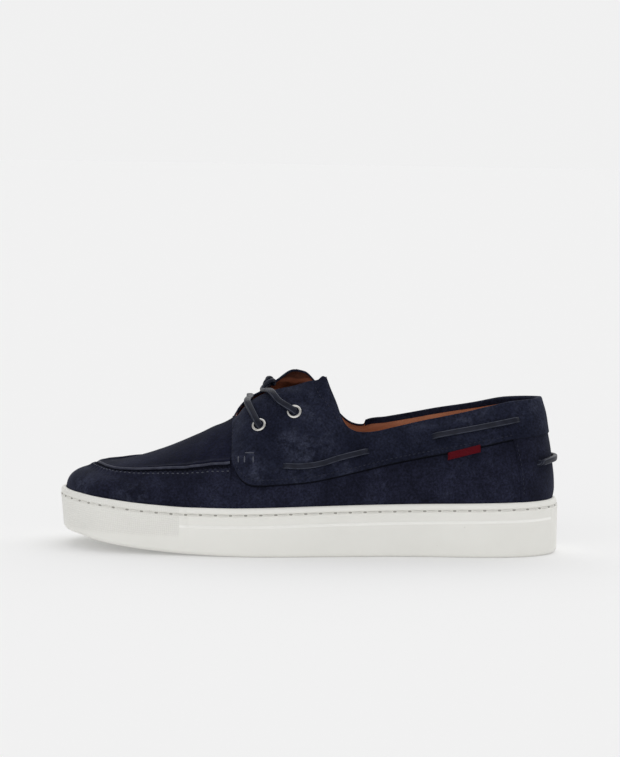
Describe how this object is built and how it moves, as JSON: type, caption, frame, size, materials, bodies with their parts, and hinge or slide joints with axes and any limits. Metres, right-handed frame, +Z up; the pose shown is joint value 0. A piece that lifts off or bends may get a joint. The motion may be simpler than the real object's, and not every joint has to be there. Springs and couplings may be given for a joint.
{
  "type": "boat shoe",
  "caption": "Low suede boat shoe on a pale cupsole, with a stitched moccasin apron, laced eyelets and side laces, for the left foot.",
  "frame": {"origin": "on the floor, under the middle of the shoe's bounding box", "axes": "+X towards the heel, +Y towards the inner side of the foot, +Z up"},
  "size_m": [0.3009, 0.1064, 0.106],
  "materials": {
    "suede": "matte napped navy suede",
    "rubber": "matte off-white rubber",
    "leather": "smooth tan leather",
    "lace": "satin dark rawhide lace",
    "metal": "satin nickel",
    "webbing": "plain woven tape"
  },
  "bodies": {
    "root": {"outsole": "rubber", "insole": "leather", "upper": "suede", "tongue": "suede", "apron": "suede", "quarter_outer": "suede", "quarter_inner": "suede", "heel_patch": "suede", "eyelet_outer_front": "metal", "eyelet_outer_rear": "metal", "eyelet_inner_front": "metal", "eyelet_inner_rear": "metal", "lace_crossing": "lace", "lace_knot": "lace", "side_lace_outer_front": "lace", "side_lace_outer_rear": "lace", "side_lace_inner_front": "lace", "side_lace_inner_rear": "lace", "heel_lace": "lace", "side_tab": "webbing"}
  },
  "joints": []
}
